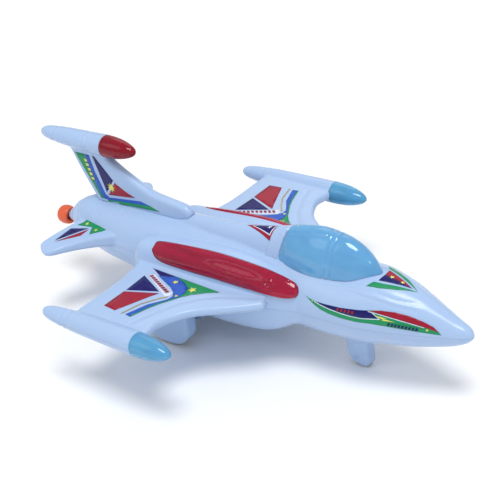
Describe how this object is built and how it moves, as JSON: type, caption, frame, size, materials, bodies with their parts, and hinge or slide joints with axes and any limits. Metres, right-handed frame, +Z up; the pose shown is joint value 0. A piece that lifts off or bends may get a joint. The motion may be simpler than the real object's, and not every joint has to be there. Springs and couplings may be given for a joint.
{
  "type": "toy airplane",
  "caption": "Pull-cord toy jet with swept wings, wing-tip and fin-tip lamp pods, a bubble canopy, side lamp strips and a cord knob at the tail.",
  "frame": {"origin": "on the ground, under the middle of the bounding box", "axes": "+X towards the nose, +Y towards the left wing, +Z up"},
  "size_m": [0.2948, 0.1894, 0.104],
  "materials": {
    "white_plastic": "glossy moulded polystyrene, faintly blue white",
    "blue_plastic": "clear blue moulded polystyrene",
    "red_plastic": "clear red moulded polystyrene",
    "orange_plastic": "satin moulded polypropylene",
    "black_plastic": "satin moulded polystyrene",
    "gear_plastic": "satin acetal",
    "steel": "bright zinc plated",
    "cord": "braided nylon cord",
    "board": "green circuit board",
    "wire": "PVC insulated wire",
    "clear_led": "clear epoxy lamp"
  },
  "bodies": {
    "airframe": {"upper_shell": "white_plastic", "lower_shell": "white_plastic", "fin_left_shell": "white_plastic", "fin_right_shell": "white_plastic", "cockpit_tub": "white_plastic", "battery_door": "white_plastic", "canopy": "blue_plastic", "wing_lens_left": "blue_plastic", "wing_lens_right": "blue_plastic", "side_lens_left": "red_plastic", "side_lens_right": "red_plastic", "fin_lens": "red_plastic", "battery_holder": "black_plastic", "spring_cup": "black_plastic", "gearbox_left_plate": "black_plastic", "gearbox_right_plate": "black_plastic", "button_cell_1": "steel", "button_cell_2": "steel", "button_cell_3": "steel", "contact_minus": "steel", "contact_plus": "steel", "battery_door_screw": "steel", "recoil_spring": "steel", "nose_axle": "steel", "tail_eyelet": "steel", "case_screw_1": "steel", "case_screw_2": "steel", "case_screw_3": "steel", "case_screw_4": "steel", "case_screw_5": "steel", "case_screw_6": "steel", "case_screw_7": "steel", "light_board": "board", "wing_wire_left": "wire", "wing_wire_right": "wire", "fin_wire": "wire", "led_cockpit": "clear_led", "led_fin": "clear_led", "led_wing_left": "clear_led", "led_wing_right": "clear_led", "led_side_left": "clear_led", "led_side_right": "clear_led"},
    "pull_handle": {"pull_knob": "orange_plastic", "pull_cord": "cord"},
    "spool": {"cord_spool": "gear_plastic", "cord_winding": "cord", "ratchet_pawl": "steel", "spool_shaft": "steel"},
    "ratchet": {"ratchet_gear": "gear_plastic"},
    "rear_axle_set": {"rear_axle": "steel", "axle_pinion": "gear_plastic", "rear_wheel_left": "black_plastic", "rear_wheel_right": "black_plastic"},
    "flywheel_set": {"flywheel": "steel", "flywheel_pinion": "gear_plastic", "flywheel_shaft": "steel"},
    "nose_wheel_set": {"nose_wheel": "black_plastic"}
  },
  "joints": [
    {"name": "cord_pull", "type": "slide", "parent": "airframe", "child": "pull_handle", "axis": [-1, 0, 0], "range_m": [0, 0.3], "stiffness_N_per_m": 4, "springref_m": -0.1, "deforming": ["pull_cord"]},
    {"name": "spool_turn", "type": "hinge", "parent": "airframe", "child": "spool", "pos_m": [-0.028, 0, 0.03088], "axis": [0, -1, 0], "range_deg": [0, 1740], "deforming": ["recoil_spring"]},
    {"name": "rear_axle_spin", "type": "hinge", "parent": "airframe", "child": "rear_axle_set", "pos_m": [-0.033, 0, 0.015], "axis": [0, 1, 0], "continuous": true},
    {"name": "ratchet_spin", "type": "hinge", "parent": "airframe", "child": "ratchet", "pos_m": [-0.028, 0, 0.03088], "axis": [0, 1, 0], "continuous": true},
    {"name": "flywheel_spin", "type": "hinge", "parent": "airframe", "child": "flywheel_set", "pos_m": [-0.0144, 0, 0.03789], "axis": [0, 1, 0], "continuous": true},
    {"name": "nose_wheel_spin", "type": "hinge", "parent": "airframe", "child": "nose_wheel_set", "pos_m": [0.076, 0, 0.005], "axis": [0, 1, 0], "continuous": true}
  ],
  "couplings": [
    {"joint": "spool_turn", "follows": "cord_pull", "rad_per_m": 101.01},
    {"joint": "ratchet_spin", "follows": "rear_axle_spin", "ratio": -0.42308},
    {"joint": "flywheel_spin", "follows": "rear_axle_spin", "ratio": 1.375}
  ]
}
